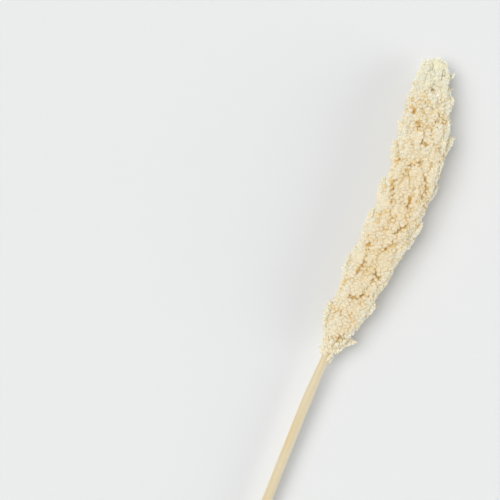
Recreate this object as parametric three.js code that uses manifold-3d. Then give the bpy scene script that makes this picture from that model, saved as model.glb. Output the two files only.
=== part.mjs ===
// One stem of dried, bleached sorghum, laid on a flat surface. Millimetres, +Z up.
// The cane lies along Y, cut end at -Y and the head's tip at +Y. The origin is under the middle of the stem.
//
// The stem is built as it grew. One cane runs from the cut end into the head, where it goes on as the
// rachis that carries everything. The seed head is a dense body of grain clusters, each the end of one
// branch, and the grains stand out of them in relief. At the tip is a tuft of pale florets with no grain.

import * as THREE from "three";
import { ConvexHull } from "three/addons/math/ConvexHull.js";
import { mergeVertices } from "three/addons/utils/BufferGeometryUtils.js";
import Module from "manifold-3d";

const wasm = await Module();
wasm.setup();

// Driving dimensions

// The line that the cane and rachis follow: [y, x, z] of its centre.
const AXIS = [
  [-250, -7.6, 10.6],
  [-130, -7.7, 12.9],
  [-50, -7.9, 14.3],
  [-12, -7.1, 15.3],
  [35, -4.1, 16.9],
  [85, 0.3, 18.0],
  [128, 3.7, 18.6],
  [168, 3.3, 18.7],
  [202, -3.7, 17.9],
  [232, -9.9, 16.0],
  [252, -12.7, 14.4],
];

// Cane and rachis: [y, radius]. The rachis thins towards the tip.
const CANE = [
  [-250, 3.9],
  [-150, 3.95],
  [-60, 4.0],
  [-40, 4.05],
  [-22, 3.5],
  [-8, 3.4],
  [40, 2.9],
  [120, 2.3],
  [200, 1.7],
  [234, 1.3],
];
const CANE_SIDES = 12;
const CANE_STEP = 20;
const CUT_CHAMFER = 0.4;

// Seed head: [y, half width] of the envelope that the clusters fill, and its height as a share of its width.
const HEAD = [
  [-14, 4.8],
  [-6, 6.0],
  [4, 8.6],
  [16, 12.2],
  [30, 14.6],
  [50, 16.4],
  [75, 19.0],
  [110, 19.6],
  [150, 20.8],
  [178, 21.2],
  [200, 19.4],
  [220, 16.2],
  [236, 12.0],
  [246, 8.8],
  [252, 6.4],
];
const HEAD_START = -8;
const HEAD_END = 238;
const HEAD_FLATTENING = 0.93;
const CORE_SHARE = 0.6;

// Clusters: how many, half the size of one each way, and how far it leans out from the axis, in degrees.
const CLUSTERS = 146;
const CLUSTER_LENGTH = 13;
const CLUSTER_WIDTH = 5.4;
const CLUSTER_DEPTH = 5.4;
const CLUSTER_LEAN = 18;

// How much clusters vary: size, lean and reach as shares, and place in mm along and radians round the axis.
const SIZE_VARIETY = 0.2;
const LEAN_VARIETY = 0.4;
const REACH_VARIETY = 0.055;
const SHIFT_ALONG = 7;
const SHIFT_ROUND = 0.5;

// Clusters shrink where the head is slimmer than this, but no further than the share.
const FULL_SIZE_RADIUS = 16;
const SMALLEST_CLUSTER = 0.55;

// Sprays that stand out of the outline, as slim as the share says:
// [y, degrees round the axis from +X, lean, half length, reach past the envelope].
const STANDOUT_WIDTH = 0.75;
const STANDOUTS = [
  [5, -4, 27, 13, 3.4],
  [24, 178, 17, 12, 4.0],
  [39, 8, 24, 12, 2.8],
  [64, 172, 18, 12, 3.0],
  [69, -8, 20, 12, 0.6],
  [100, 4, 20, 12, 2.0],
  [104, 176, 18, 12, 2.0],
  [112, 14, 22, 12, 3.2],
  [132, 184, 17, 12, 3.0],
  [144, -4, 18, 12, 1.6],
  [166, 178, 18, 12, 3.0],
  [180, 2, 25, 11, 2.8],
  [186, 170, 20, 11, 1.4],
  [211, 8, 20, 10, 1.8],
  [233, 4, 16, 7, 0.8],
  [46, 262, 16, 13, 1.6],
  [88, 286, 16, 13, 1.4],
  [118, 254, 16, 13, 0.8],
  [60, 88, 16, 13, 1.4],
  [134, 74, 15, 13, 1.4],
  [178, 108, 15, 13, 1.2],
];

// Grains in relief on the clusters: how high one stands, how deep the valleys between them lie, how far
// they stray from an even spiral (in grains along it, in radians round it), and which way they point.
const GRAINS = 1720;
const GRAIN_CROWN = 1.0;
const GRAIN_VALLEY = 0.55;
const GRAIN_STRAY = 2.7;
const GRAIN_TURN = 0.1;
const GRAIN_LEAN = 28;

// Pale florets at the tip: from where up, how many, the size of one, and its lean from the axis
// at the tuft's foot and at its end.
const TIP_START = 218;
const FLORETS = 90;
const FLORET_LENGTH = 8.6;
const FLORET_RADIUS = 1.15;
const FLORET_SINK = 3.2;
const FLORET_LENGTH_VARIETY = 0.2;
const FLORET_LEAN_FOOT = 30;
const FLORET_LEAN_END = 6;
const FLORET_LEAN_STRAY = 8;
const FLORET_CROWDING = 0.8;

// The gap that neighbours keep.
const GAP = 0.3;

const SEED = 20;
const DEGREE = Math.PI / 180;
const GOLDEN_ANGLE = Math.PI * (3 - Math.sqrt(5));

// Curves and chance

// Value at y of a smooth curve through [y, value, ...] stations, in the given column.
function along(stations, y, column = 1) {
  const last = stations.length - 1;
  if (y <= stations[0][0]) return stations[0][column];
  if (y >= stations[last][0]) return stations[last][column];
  let i = 0;
  while (stations[i + 1][0] < y) i += 1;
  const slope = (k) => {
    const before = stations[Math.max(k - 1, 0)];
    const after = stations[Math.min(k + 1, last)];
    return (after[column] - before[column]) / (after[0] - before[0]);
  };
  const span = stations[i + 1][0] - stations[i][0];
  const t = (y - stations[i][0]) / span;
  const tt = t * t;
  const ttt = tt * t;
  return (
    (2 * ttt - 3 * tt + 1) * stations[i][column] +
    (ttt - 2 * tt + t) * span * slope(i) +
    (3 * tt - 2 * ttt) * stations[i + 1][column] +
    (ttt - tt) * span * slope(i + 1)
  );
}

// A repeatable stream of numbers from 0 to 1, by a linear congruential generator.
function chance(seed) {
  const multiplier = 1664525;
  const increment = 1013904223;
  const modulus = 2 ** 32;
  let state = seed;
  return () => {
    state = (state * multiplier + increment) % modulus;
    return state / modulus;
  };
}

// One of those numbers, spread evenly from -1 to 1.
function stray(random) {
  return 2 * random() - 1;
}

// Centre of the stem at y, the direction it runs in there, and the two directions across it.
function frameAt(y) {
  const at = (v) => new THREE.Vector3(along(AXIS, v, 1), v, along(AXIS, v, 2));
  const forward = at(y + 1).sub(at(y - 1));
  forward.y = 2;
  forward.normalize();
  const up = new THREE.Vector3(0, 0, 1);
  const side = forward.clone().cross(up).normalize();
  return { centre: at(y), forward, side, up: side.clone().cross(forward) };
}

// Unit direction away from the axis, at an angle from +X.
function outward(frame, angle) {
  return frame.side
    .clone()
    .multiplyScalar(Math.cos(angle))
    .addScaledVector(frame.up, Math.sin(angle));
}

// Half width of the head at y, in the direction of an angle round it.
function envelope(y, angle) {
  return along(HEAD, y) * (1 - (1 - HEAD_FLATTENING) * Math.sin(angle) ** 2);
}

// Grain clusters

// An ellipsoid whose far end leans out from the axis and just reaches the given distance from it.
function cluster(y, angle, lean, size, reach) {
  const frame = frameAt(y);
  const out = outward(frame, angle);
  const long = frame.forward
    .clone()
    .multiplyScalar(Math.cos(lean))
    .addScaledVector(out, Math.sin(lean));
  const wide = long.clone().cross(out).normalize();
  const deep = wide.clone().cross(long);
  const own = Math.hypot(size.x * Math.sin(lean), size.z * Math.cos(lean));
  const centre = frame.centre.clone().addScaledVector(out, Math.max(reach - own, 0));
  return { centre, long, wide, deep, size };
}

// A cluster's size where the head has the given radius.
function clusterSize(radius, random) {
  const share = Math.min(1, Math.max(SMALLEST_CLUSTER, radius / FULL_SIZE_RADIUS));
  return new THREE.Vector3(
    ...[CLUSTER_LENGTH, CLUSTER_WIDTH, CLUSTER_DEPTH].map(
      (half) => half * share * (1 + SIZE_VARIETY * stray(random)),
    ),
  );
}

// The ends of all branches: by the golden angle round the axis, at equal areas along it, then the standouts.
function clusters() {
  const random = chance(SEED);
  const step = 0.5;
  let total = 0;
  for (let y = HEAD_START; y < HEAD_END; y += step) total += along(HEAD, y);
  const made = [];
  let passed = 0;
  for (let y = HEAD_START; y < HEAD_END; y += step) {
    passed += along(HEAD, y);
    while (passed >= ((made.length + 0.5) / CLUSTERS) * total) {
      const place = y + (SHIFT_ALONG / 2) * stray(random);
      const angle = made.length * GOLDEN_ANGLE + (SHIFT_ROUND / 2) * stray(random);
      const size = clusterSize(along(HEAD, place), random);
      const lean = CLUSTER_LEAN * (1 + LEAN_VARIETY * stray(random)) * DEGREE;
      const reach = envelope(place, angle) * (1 + REACH_VARIETY * stray(random));
      made.push(cluster(place, angle, lean, size, reach));
    }
  }
  for (const [y, degrees, lean, half, past] of STANDOUTS) {
    const size = new THREE.Vector3(half, CLUSTER_WIDTH * STANDOUT_WIDTH, CLUSTER_DEPTH * STANDOUT_WIDTH);
    const angle = degrees * DEGREE;
    made.push(cluster(y, angle, lean * DEGREE, size, envelope(y, angle) + past));
  }
  return made;
}

// How far a ray goes before it leaves the last cluster that it crosses, and 0 if it crosses none.
function reachOf(made, origin, ray) {
  const inUnits = (vector, { long, wide, deep, size }) =>
    new THREE.Vector3(vector.dot(long), vector.dot(wide), vector.dot(deep)).divide(size);
  let far = 0;
  for (const one of made) {
    const offset = inUnits(origin.clone().sub(one.centre), one);
    const direction = inUnits(ray, one);
    const a = direction.lengthSq();
    const b = offset.dot(direction);
    const under = b * b - a * (offset.lengthSq() - 1);
    if (under > 0) far = Math.max(far, (-b + Math.sqrt(under)) / a);
  }
  return far;
}

// The head's surface, as a path from its bottom pole to its top pole and an angle round the axis.
// A ray leans forward along the body, as the branches do, and swings round to the axis at each end.
const LEAN = GRAIN_LEAN * DEGREE;
const BOTTOM_CAP = along(HEAD, HEAD_START) * (LEAN + Math.PI / 2);
const TOP_CAP = along(HEAD, HEAD_END) * (Math.PI / 2 - LEAN);
const PATH = BOTTOM_CAP + (HEAD_END - HEAD_START) + TOP_CAP;

function rayAt(path) {
  if (path < BOTTOM_CAP) {
    return { y: HEAD_START, lean: -Math.PI / 2 + (path / BOTTOM_CAP) * (LEAN + Math.PI / 2) };
  }
  const y = HEAD_START + path - BOTTOM_CAP;
  if (y <= HEAD_END) return { y, lean: LEAN };
  return { y: HEAD_END, lean: LEAN + ((y - HEAD_END) / TOP_CAP) * (Math.PI / 2 - LEAN) };
}

// The surface's point at a place on the path and round the axis, lifted along the ray.
function surfacePoint(made, path, angle, lift) {
  const { y, lean } = rayAt(path);
  const frame = frameAt(y);
  const ray = outward(frame, angle)
    .multiplyScalar(Math.cos(lean))
    .addScaledVector(frame.forward, Math.sin(lean));
  const core = CORE_SHARE * envelope(y, angle);
  const far = Math.max(core, reachOf(made, frame.centre, ray));
  return frame.centre.clone().addScaledVector(ray, far + lift);
}

// Rows of [place on the path, latitude, share of the area below it]. The latitude is that of a conformal
// image of the head on a unit sphere, so that the convex hull of the grains' places on the sphere joins
// each grain to its true neighbours, on the long head too.
function conformalTable() {
  const step = 0.25;
  const table = [];
  let latitude = 0;
  let area = 0;
  for (let path = step / 2; path < PATH; path += step) {
    const { y, lean } = rayAt(path);
    const turned = y === HEAD_START || y === HEAD_END ? Math.cos(lean) / Math.cos(LEAN) : 1;
    const radius = along(HEAD, y) * Math.min(turned, 1);
    latitude += step / radius;
    area += step * radius;
    table.push([path, latitude, area]);
  }
  const middle = latitude / 2;
  return table.map(([path, at, sum]) => [path, at - middle, sum / area]);
}

// The row of the table where the given column reaches a value, read between rows.
function lookUp(table, column, value) {
  let low = 0;
  let high = table.length - 1;
  while (high - low > 1) {
    const mid = (low + high) >> 1;
    if (table[mid][column] < value) low = mid;
    else high = mid;
  }
  const share = (value - table[low][column]) / (table[high][column] - table[low][column]);
  const kept = Math.min(1, Math.max(0, share));
  return table[low].map((v, k) => v + kept * (table[high][k] - v));
}

// One closed surface: each grain is a low pyramid over the corners that it shares with its neighbours.
function grainRelief(made) {
  const table = conformalTable();
  const random = chance(SEED + 1);
  const spots = [];
  for (let i = 0; i < GRAINS; i += 1) {
    const [, latitude] = lookUp(table, 2, (i + 0.5 + (GRAIN_STRAY / 2) * stray(random)) / GRAINS);
    const angle = i * GOLDEN_ANGLE + (GRAIN_TURN / 2) * stray(random);
    const ring = 1 / Math.cosh(latitude);
    spots.push(
      new THREE.Vector3(ring * Math.cos(angle), ring * Math.sin(angle), Math.tanh(latitude)),
    );
  }
  const place = (spot, lift) => {
    const [path] = lookUp(table, 1, Math.atanh(spot.z));
    return surfacePoint(made, path, Math.atan2(spot.y, spot.x), lift);
  };

  const hull = new ConvexHull().setFromPoints(spots);
  const cells = new Map();
  for (const face of hull.faces) {
    const corner = face.edge.head().point.clone();
    corner.add(face.edge.next.head().point).add(face.edge.prev.head().point).normalize();
    const lowered = place(corner, -GRAIN_VALLEY);
    let edge = face.edge;
    do {
      const grain = edge.head().point;
      if (!cells.has(grain)) cells.set(grain, new Map());
      cells.get(grain).set(edge.tail().point, [lowered, edge.next.head().point]);
      edge = edge.next;
    } while (edge !== face.edge);
  }

  const triangles = [];
  for (const [grain, fan] of cells) {
    const crown = place(grain, GRAIN_CROWN);
    for (const [corner, neighbour] of fan.values()) {
      const [following] = fan.get(neighbour);
      triangles.push(crown, corner, following);
    }
  }
  return new THREE.BufferGeometry().setFromPoints(triangles);
}

// Solids

// A closed geometry as a solid, turned to face out.
function solidOf(geometry) {
  const bare = geometry.index ? geometry.toNonIndexed() : geometry.clone();
  bare.deleteAttribute("normal");
  bare.deleteAttribute("uv");
  const merged = mergeVertices(bare, 1e-4);
  const mesh = new wasm.Mesh({
    numProp: 3,
    vertProperties: new Float32Array(merged.attributes.position.array),
    triVerts: new Uint32Array(merged.index.array),
  });
  const solid = new wasm.Manifold(mesh);
  if (solid.volume() > 0) return solid;
  mesh.triVerts.reverse();
  return new wasm.Manifold(mesh);
}

// The largest body of a solid, as a named mesh.
function meshOf(name, solid, material) {
  const [whole] = solid.decompose().sort((a, b) => b.volume() - a.volume());
  const { vertProperties, triVerts } = whole.getMesh();
  const geometry = new THREE.BufferGeometry();
  geometry.setAttribute("position", new THREE.BufferAttribute(vertProperties, 3));
  geometry.setIndex(new THREE.BufferAttribute(triVerts, 1));
  geometry.computeVertexNormals();
  const mesh = new THREE.Mesh(geometry, material);
  mesh.name = name;
  return mesh;
}

// Moves each section of a shape that was made round the Y axis onto the stem's line.
function ontoAxis(geometry) {
  const position = geometry.getAttribute("position");
  for (let i = 0; i < position.count; i += 1) {
    const y = position.getY(i);
    position.setX(i, position.getX(i) + along(AXIS, y, 1));
    position.setZ(i, position.getZ(i) + along(AXIS, y, 2));
  }
  return geometry;
}

// Cane and rachis in one, grown all round by a given amount.
function cane(grown) {
  const [start, thick] = CANE[0];
  const [end, thin] = CANE[CANE.length - 1];
  const profile = [
    [0, start - grown],
    [thick + grown - CUT_CHAMFER, start - grown],
    [thick + grown, start - grown + CUT_CHAMFER],
  ];
  for (let y = start + CANE_STEP; y < end; y += CANE_STEP) profile.push([along(CANE, y) + grown, y]);
  profile.push([thin + grown, end + grown], [0, end + grown + thin]);
  const points = profile.map(([radius, y]) => new THREE.Vector2(radius, y));
  return solidOf(ontoAxis(new THREE.LatheGeometry(points, CANE_SIDES)));
}

// One pale floret: a slim four-sided spindle, [radius, height] as shares of its own.
const FLORET_PROFILE = [
  [0, 0],
  [1, 0.4],
  [0.7, 0.78],
  [0, 1],
];
const FLORET_SIDES = 4;

function floret(foot, direction, length) {
  const points = FLORET_PROFILE.map(([r, h]) => new THREE.Vector2(r * FLORET_RADIUS, h * length));
  const geometry = new THREE.LatheGeometry(points, FLORET_SIDES);
  const turn = new THREE.Quaternion().setFromUnitVectors(new THREE.Vector3(0, 1, 0), direction);
  geometry.applyMatrix4(new THREE.Matrix4().compose(foot, turn, new THREE.Vector3(1, 1, 1)));
  return solidOf(geometry);
}

// Florets by the golden angle over the tip, their feet sunk in it, more upright towards its end.
function florets(made) {
  const random = chance(SEED + 2);
  const start = BOTTOM_CAP + TIP_START - HEAD_START;
  const all = [];
  for (let i = 0; i < FLORETS; i += 1) {
    const share = (i + 0.5) / FLORETS;
    const angle = i * GOLDEN_ANGLE;
    const path = start + (PATH - start) * share ** FLORET_CROWDING;
    const foot = surfacePoint(made, path, angle, -FLORET_SINK);
    const frame = frameAt(foot.y);
    const plain = THREE.MathUtils.lerp(FLORET_LEAN_FOOT, FLORET_LEAN_END, share);
    const lean = (plain + FLORET_LEAN_STRAY * stray(random)) * DEGREE;
    const direction = frame.forward
      .multiplyScalar(Math.cos(lean))
      .addScaledVector(outward(frame, angle), Math.sin(lean));
    all.push(floret(foot, direction, FLORET_LENGTH * (1 + FLORET_LENGTH_VARIETY * stray(random))));
  }
  return wasm.Manifold.union(all);
}

// A block that takes in the whole stem up to a cut across it, and one that lies under the stem.
const STEM_BOX = new THREE.Vector3(120, 600, 120);

function below(y) {
  const block = new THREE.BoxGeometry(STEM_BOX.x, STEM_BOX.y, STEM_BOX.z);
  block.translate(0, y - STEM_BOX.y / 2, 0);
  return solidOf(block);
}

function ground() {
  const block = new THREE.BoxGeometry(STEM_BOX.x, STEM_BOX.y, STEM_BOX.z);
  block.translate(0, 0, -STEM_BOX.z / 2);
  return solidOf(block);
}

// What is left of a solid once the cane has its way through it and it lies on the ground.
function fitted(solid) {
  return solid.subtract(cane(GAP)).subtract(ground());
}

// Materials

function dryPlant(color, roughness) {
  return new THREE.MeshStandardMaterial({ color, roughness, metalness: 0 });
}
const straw = dryPlant(0xe4d2aa, 0.55);
const cream = dryPlant(0xe9dab6, 0.62);
const ivory = dryPlant(0xece4c6, 0.6);

// The stem

const branchEnds = clusters();
const relief = fitted(solidOf(grainRelief(branchEnds)));
const head = relief.intersect(below(TIP_START));
const tip = relief.add(fitted(florets(branchEnds))).subtract(below(TIP_START + GAP));

const sorghum = new THREE.Group();
sorghum.add(meshOf("stalk", cane(0).subtract(ground()), straw));
sorghum.add(meshOf("seed_head", head, cream));
sorghum.add(meshOf("tip_florets", tip, ivory));

export default sorghum;
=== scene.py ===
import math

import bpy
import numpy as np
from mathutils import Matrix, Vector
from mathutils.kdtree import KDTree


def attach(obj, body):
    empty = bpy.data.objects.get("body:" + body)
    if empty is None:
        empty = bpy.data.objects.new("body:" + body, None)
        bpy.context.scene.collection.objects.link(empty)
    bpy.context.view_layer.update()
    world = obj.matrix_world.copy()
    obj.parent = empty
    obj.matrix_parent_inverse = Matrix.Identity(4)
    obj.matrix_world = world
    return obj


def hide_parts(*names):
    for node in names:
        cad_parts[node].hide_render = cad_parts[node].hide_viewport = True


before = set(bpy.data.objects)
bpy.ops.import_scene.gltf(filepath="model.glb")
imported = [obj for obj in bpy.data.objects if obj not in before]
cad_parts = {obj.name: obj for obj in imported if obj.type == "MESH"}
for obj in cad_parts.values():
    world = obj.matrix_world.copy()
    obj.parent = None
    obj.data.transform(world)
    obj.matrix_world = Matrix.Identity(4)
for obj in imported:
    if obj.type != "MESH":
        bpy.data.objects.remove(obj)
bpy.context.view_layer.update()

# One stem of dried, bleached sorghum, lying on a pale surface and seen from straight above. Metres, +Z up.
#
# The cane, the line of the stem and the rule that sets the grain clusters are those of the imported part.
# What is added here is the fine surface: shorter sprays that fill the head, one skin fused over all sprays
# with clefts and seams in it, close-set grains with husks at their feet, slender glumes that end the
# sprays, pale florets at the tip, a few glossy husks, ribs on the cane and pith in its cut end.

MM = 0.001
DEGREE = math.pi / 180
GOLDEN_ANGLE = math.pi * (3 - math.sqrt(5))

# The stem, as in the part

# The line that cane and rachis follow: y, x and z of its centre.
AXIS = np.array([
    (-0.250, -0.0076, 0.0106),
    (-0.130, -0.0077, 0.0129),
    (-0.050, -0.0079, 0.0143),
    (-0.012, -0.0071, 0.0153),
    (0.035, -0.0041, 0.0169),
    (0.085, 0.0003, 0.0180),
    (0.128, 0.0037, 0.0186),
    (0.168, 0.0033, 0.0187),
    (0.202, -0.0037, 0.0179),
    (0.232, -0.0099, 0.0160),
    (0.252, -0.0127, 0.0144),
])

# Cane and rachis: y and radius.
CANE = np.array([
    (-0.250, 0.0039),
    (-0.150, 0.00395),
    (-0.060, 0.0040),
    (-0.040, 0.00405),
    (-0.022, 0.0035),
    (-0.008, 0.0034),
    (0.040, 0.0029),
    (0.120, 0.0023),
    (0.200, 0.0017),
    (0.234, 0.0013),
])

# Envelope of the head: y and half width. Its height is a share of its width.
HEAD = np.array([
    (-0.014, 0.0048),
    (-0.006, 0.0060),
    (0.004, 0.0086),
    (0.016, 0.0122),
    (0.030, 0.0146),
    (0.050, 0.0164),
    (0.075, 0.0190),
    (0.110, 0.0196),
    (0.150, 0.0208),
    (0.178, 0.0212),
    (0.200, 0.0194),
    (0.220, 0.0162),
    (0.236, 0.0120),
    (0.246, 0.0088),
    (0.252, 0.0064),
])

# Where its clusters begin and end, its height as a share of its width, and the steps of the cluster rule.
HEAD_START = -0.008
HEAD_END = 0.238
HEAD_FLATTENING = 0.93
HEAD_STEP = 0.5 * MM

# Sides and steps of the cane.
CANE_SIDES = 48
CANE_STEPS = 60

# Ribs of the cane, and finer ones: how many, how deep as a share of the radius, and how they sway.
RIBS = 9
RIB_DEPTH = 0.006
FINE_RIBS = 17
FINE_RIB_DEPTH = 0.004
RIB_SWAY = 3
RIB_SWAY_RATE = 12

# Pith: the rim left round it, as a share of the radius, and how far it is sunk, as a share of the length.
PITH_RIM = 0.16
PITH_SINK = 0.0012

# Clusters of grains: number, half sizes, lean, and how much they vary.
CLUSTERS = 146
CLUSTER_SIZE = np.array((0.013, 0.0054, 0.0054))
CLUSTER_LEAN = 18
SIZE_VARIETY = 0.2
LEAN_VARIETY = 0.4
REACH_VARIETY = 0.055
SHIFT_ALONG = 0.007
SHIFT_ROUND = 0.5
FULL_SIZE_RADIUS = 0.016
SMALLEST_CLUSTER = 0.55
CLUSTER_SEED = 20

# Shorter sprays that fill the hollows between them: number, how far out they reach, and first angle.
FILLERS = 130
FILLER_REACH = 0.96
FILLER_TURN = 1

# Sprays that stand out: y, degrees round the axis, lean, half length, reach past the envelope.
STANDOUT_WIDTH = 0.75
STANDOUTS = [
    (0.005, -4, 27, 0.013, 0.0034),
    (0.024, 178, 17, 0.012, 0.0040),
    (0.039, 8, 24, 0.012, 0.0028),
    (0.064, 172, 18, 0.012, 0.0030),
    (0.069, -8, 20, 0.012, 0.0006),
    (0.100, 4, 20, 0.012, 0.0020),
    (0.104, 176, 18, 0.012, 0.0020),
    (0.112, 14, 22, 0.012, 0.0032),
    (0.132, 184, 17, 0.012, 0.0030),
    (0.144, -4, 18, 0.012, 0.0016),
    (0.166, 178, 18, 0.012, 0.0030),
    (0.180, 2, 25, 0.011, 0.0028),
    (0.186, 170, 20, 0.011, 0.0014),
    (0.211, 8, 20, 0.010, 0.0018),
    (0.233, 4, 16, 0.007, 0.0008),
    (0.046, 262, 16, 0.013, 0.0016),
    (0.088, 286, 16, 0.013, 0.0014),
    (0.118, 254, 16, 0.013, 0.0008),
    (0.060, 88, 16, 0.013, 0.0014),
    (0.134, 74, 15, 0.013, 0.0014),
    (0.178, 108, 15, 0.013, 0.0012),
]

# Grains: half sizes across, through and along, how far apart they sit, and how they vary.
GRAIN_HALF = np.array((2.1, 2.0, 1.4)) * MM
GRAIN_SPACINGS = np.array((2.75, 2.5, 2.2)) * MM
GRAIN_INSET = 1.25 * MM
GRAIN_TILT = 0.25
GRAIN_STRAY = 0.16
GRAIN_VARIETY = 0.09
GRAIN_SEED = 7

# How far grains and florets keep clear of cane and rachis.
CANE_CLEARANCE = 0.4 * MM

# The most that any size varies, as a multiple of its variety.
VARIETY_LIMIT = 2

# A grain with more room round it is larger, within limits.
FULL_GRAIN_ROOM = 2.75 * MM
ROOM_LIMITS = (0.8, 1.2)

# Inner grains, and how far their colour goes towards amber: painted shade, as they lie deeper than the outer
# grains.
INNER_INSET = 1.7 * MM
INNER_SPACINGS = np.array((2.65, 2.35)) * MM
INNER_TILT = 0.5
INNER_VARIETY = 0.08
INNER_AMBER_SHADE = 0.2

# Husks: half sizes, how far they stand beside a grain and below its middle, and how they lean.
HUSK_HALF = np.array((1.15, 1.0, 1.75)) * MM
HUSK_ASIDE = 1.3 * MM
HUSK_DEPTHS = np.array((-1.0, -0.2)) * MM
HUSK_REST = 0.6 * MM
HUSK_TILT = 0.45
HUSK_LEAN = 0.5
HUSK_VARIETY = 0.15

# The skin under the grains: how far in it lies, how much further at neck and tip, and its mesh.
BODY_INSET = 0.65 * MM
NECK_INSET = 1.3 * MM
TIP_INSET = 1.3 * MM
BODY_MESH = 0.9 * MM

# The dense middle of the head: its reach as a share of the envelope, in the head and at the neck, where
# it begins, how sharply it closes at its ends, and the points tried on it where no cluster hides it.
CORE_SHARE = 0.87
NECK_CORE_SHARE = 0.55
CORE_START = HEAD_START - 2 * MM
CORE_CLOSING = 4
CORE_CANDIDATES = 9000
CORE_BARE = 0.9

# The photo's view. The camera looks straight down, turned about its own line of sight.
PHOTO_TURN = 21.9 * DEGREE
PHOTO_WIDTH = 500
CAMERA_CENTRE = Vector((-0.0954, 0.0511, 0.0))
CAMERA_HEIGHT = 0.964
CAMERA_LENS = 85
CAMERA_FILM = 36

# Digits kept of a place that is read from the photo: a tenth of a millimetre.
PHOTO_DIGITS = 4

# Clefts between the sprays on the upper side: their two ends, given as pixels of the photo.
CLEFT_ENDS = [
    ((411, 166), (423, 163)),
    ((412, 197), (407, 207)),
    ((395, 216), (391, 221)),
    ((394, 234), (407, 226)),
    ((394, 242), (386, 250)),
    ((395, 180), (393, 202)),
    ((400, 145), (402, 160)),
    ((418, 123), (419, 130)),
    ((436, 121), (437, 126)),
    ((422, 141), (426, 145)),
    ((371, 243), (365, 263)),
    ((365, 263), (359, 272)),
    ((350, 298), (369, 297)),
    ((342, 312), (345, 316)),
    ((339, 342), (343, 338)),
    ((415, 98), (416, 112)),
    ((428, 102), (432, 110)),
    ((431, 87), (436, 90)),
    ((425, 177), (428, 192)),
    ((376, 274), (381, 280)),
]
CLEFT_HEIGHT = 36 * MM

# Clefts: walls and depth, how far their amber colour and painted shade reach, the gap in the grains, how
# they wander and break.
CLEFT_WALLS = np.array((0.6, 2.0)) * MM
CLEFT_DEPTH = 2.3 * MM
CLEFT_TINT = np.array((1.1, 3.0)) * MM
CLEFT_GAP = 1.15 * MM
CLEFT_GAP_EDGE = 1.01 * CLEFT_GAP
CLEFT_WANDER = 1.1 * MM
CLEFT_BEND = 5 * MM
CLEFT_BREAKS = 9 * MM
CLEFT_OPEN = (-1.2, -0.6)
UPPER_SIDE = 8 * MM

# Seams where sprays part: how far their amber colour and painted shade and their furrow reach, and how often
# they break.
SEAM_TINT = np.array((0.3, 1.5)) * MM
SEAM_FURROW = np.array((0.2, 1.3)) * MM
SEAM_DEPTH = 0.3 * MM
SEAM_BREAKS = 16 * MM
SEAM_OPEN = (-0.25, 0.35)
# Share of the seams' amber and painted shade, the least strength of a seam where it fades, and how much the
# painted shade pales at the foot of the head.
SEAM_SHARE = 0.85
SEAM_LEAST = 0.35
SEAM_PALING = 0.45

# Tone of the grains: size of its patches and how they change, its least value, and what spray, patch and
# grain add to it.
PATCH = 24 * MM
PATCH_CHANGE = (-0.8, 0.8)
TONE_LEAST = 0.25
TONE_OF_SPRAY = 0.35
TONE_OF_PATCH = 0.4
TONE_OF_GRAIN = 0.1

# The sides of the head, as the upward part of the outward direction, and how much paler they are: a painted
# sheen of light grazing the sides.
FLANK = (0.4, 0.95)
SIDE_SHEEN_PALING = 0.7

# Paleness of the grains: where it begins towards the tip, and its shares at tip, foot and sides; that of the
# sides is painted sheen.
PALE_START = 0.16
PALE_LENGTH = 0.06
TIP_PALENESS = 0.85
FOOT_PALENESS = 0.55
SIDE_SHEEN_PALENESS = 0.75

# Smooth random fields: spread of their wave lengths, largest phase, and a seed for each.
WAVE_LENGTHS = (0.7, 1.4)
WAVE_PHASE = 6.3
WANDER_SEEDS = (11, 12)
CLEFT_BREAK_SEED = 13
SEAM_BREAK_SEED = 17
PATCH_SEED = 19

# Florets of the tip: where they begin and take over, their half sizes, their places and how they stray.
FLORET_START = 0.208
FLORET_FULL = 0.230
FLORET_HALF = np.array((1.2, 1.0, 2.7)) * MM
FLORET_SPACINGS = np.array((1.8, 1.5)) * MM
FLORET_INSETS = np.array((1.2, 2.4)) * MM
FLORET_LIFT = 0.05
FLORET_TUCK = 0.7 * MM
FLORET_REST = 1.2 * MM
FLORET_STRAY = 0.09
FLORET_END_STRAY = 3
FLORET_VARIETY = 0.16

# Sprays of the tip: y, degrees round the axis, lean, half sizes, reach from the axis.
TIP_SPRAYS = [
    (0.2390, 90, 0, (0.0125, 0.0080, 0.0075), 0),
    (0.2340, 178, 4, (0.0105, 0.0052, 0.0062), 0.0130),
    (0.2398, 172, 12, (0.0078, 0.0050, 0.0050), 0.0116),
    (0.2412, 6, 10, (0.0085, 0.0045, 0.0050), 0.0104),
    (0.2362, 4, 48, (0.0060, 0.0019, 0.0019), 0.0166),
]

# Slender glumes that end each spray: how many, half sizes, where they begin and how they spread.
GLUMES = 6
GLUME_HALF = np.array((0.8, 0.6, 1.8)) * MM
GLUME_START = 0.93
GLUME_OFFSET = 0.3
GLUME_SPLAY = 0.25
GLUME_LIMIT = 1.3
GLUME_VARIETY = 0.2

# Glossy husks that catch the light: their pixels in the photo, and their heights.
GLINTS = [
    ((438, 97), 32 * MM),
    ((441, 95), 34 * MM),
    ((445, 92), 33 * MM),
    ((447, 90), 30 * MM),
    ((342, 335), 34 * MM),
    ((430, 174), 36 * MM),
    ((435, 185), 34 * MM),
    ((418, 214), 36 * MM),
]
GLOSSY_HALF = np.array((0.75, 0.7, 2.2)) * MM
GLOSSY_LIFT = 1.2 * MM
GLOSSY_STRAY = 0.3
GLOSSY_VARIETY = 0.1

# The neck: where it ends, and over what length its grains turn slim and lie along the stem.
NECK_END = 0.024
NECK_LENGTH = 0.026
NECK_GRAIN = np.array((-0.3, -0.3, 0.55))
NECK_TILT = 1.2

# The paler foot of the head: where it ends, and over what length.
FOOT_END = 0.07
FOOT_LENGTH = 0.06

# Sprays of the neck: y, degrees round the axis, lean, half sizes, reach from the axis.
NECK_SPRAYS = [
    (0.0108, -2, 54, (0.0088, 0.0034, 0.0030), 0.0170),
]


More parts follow.
